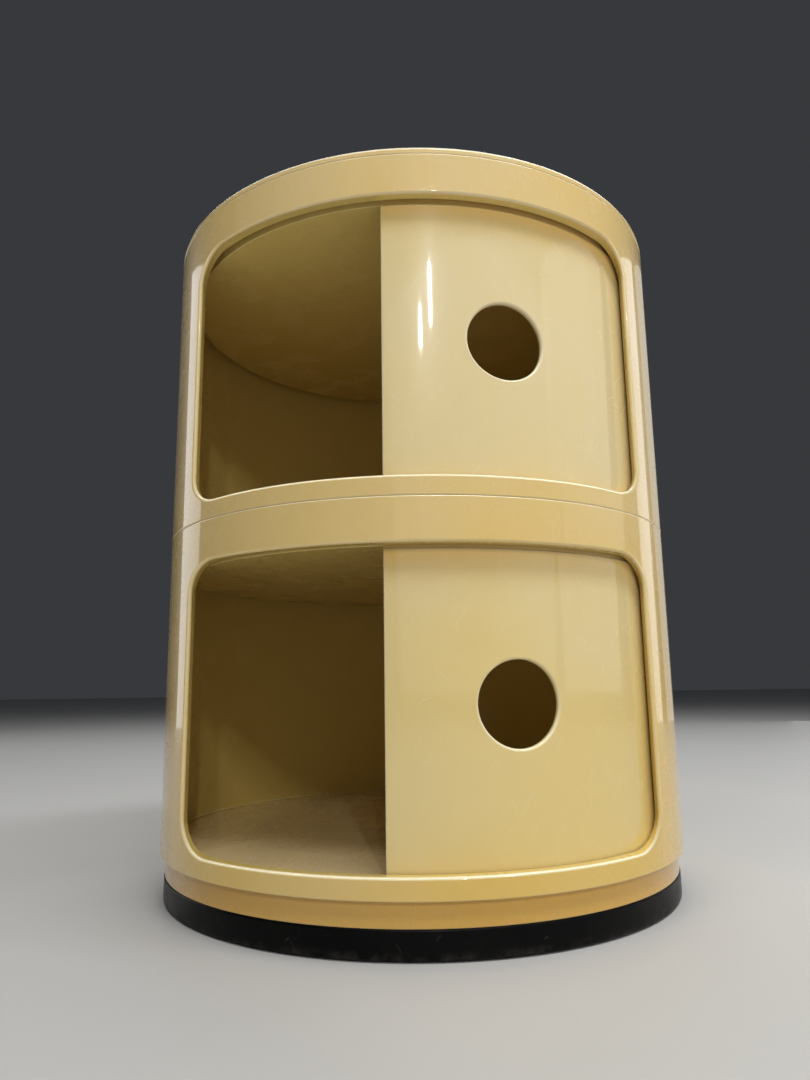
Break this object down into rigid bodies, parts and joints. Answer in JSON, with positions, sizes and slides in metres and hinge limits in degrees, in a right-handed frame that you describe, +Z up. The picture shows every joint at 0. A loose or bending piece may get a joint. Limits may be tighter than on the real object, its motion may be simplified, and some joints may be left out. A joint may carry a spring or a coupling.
{
  "type": "round stacking storage unit",
  "caption": "Round plastic storage unit of stacked tiers, each with a curved sliding door with a finger hole, under a tray lid and on a dark plinth.",
  "frame": {"origin": "middle of the round footprint, on the surface that the rubber pads stand on", "axes": "+Z up along the axis of the round body, -Y out through the middle of the two front openings, +X to the right as seen from the front"},
  "size_m": [0.32, 0.32, 0.4],
  "materials": {
    "shell_plastic": "glossy aged ivory, slightly yellowed",
    "door_plastic": "glossy aged ivory, a little paler than the shells",
    "tray_plastic": "glossy aged ivory turned ochre",
    "plinth_plastic": "satin black with scuffs",
    "pad_rubber": "matt black"
  },
  "bodies": {
    "plinth": {"plinth_ring": "plinth_plastic", "plinth_pads": "pad_rubber"},
    "lower_tray": {"lower_floor_tray": "tray_plastic"},
    "lower_tier": {"lower_shell": "shell_plastic", "lower_ceiling_tray": "shell_plastic"},
    "lower_door": {"lower_door": "door_plastic"},
    "upper_tray": {"upper_floor_tray": "tray_plastic"},
    "upper_tier": {"upper_shell": "shell_plastic", "upper_ceiling_tray": "shell_plastic"},
    "upper_door": {"upper_door": "door_plastic"},
    "top_tray": {"top_tray": "shell_plastic"}
  },
  "joints": [
    {"name": "lower_tier_lift", "type": "slide", "parent": "plinth", "child": "lower_tray", "axis": [0, 0, 1], "range_m": [0, 0.05]},
    {"name": "lower_tier_turn", "type": "hinge", "parent": "lower_tray", "child": "lower_tier", "pos_m": [0, 0, 0.026], "axis": [0, 0, 1], "continuous": true},
    {"name": "lower_door_slide", "type": "hinge", "parent": "lower_tier", "child": "lower_door", "pos_m": [0, 0, 0.11], "axis": [0, 0, 1], "continuous": true},
    {"name": "upper_tier_lift", "type": "slide", "parent": "lower_tier", "child": "upper_tray", "axis": [0, 0, 1], "range_m": [0, 0.05]},
    {"name": "upper_tier_turn", "type": "hinge", "parent": "upper_tray", "child": "upper_tier", "pos_m": [0, 0, 0.211], "axis": [0, 0, 1], "continuous": true},
    {"name": "upper_door_slide", "type": "hinge", "parent": "upper_tier", "child": "upper_door", "pos_m": [0, 0, 0.296], "axis": [0, 0, 1], "continuous": true},
    {"name": "top_tray_lift", "type": "slide", "parent": "upper_tier", "child": "top_tray", "axis": [0, 0, 1], "range_m": [0, 0.05]}
  ]
}
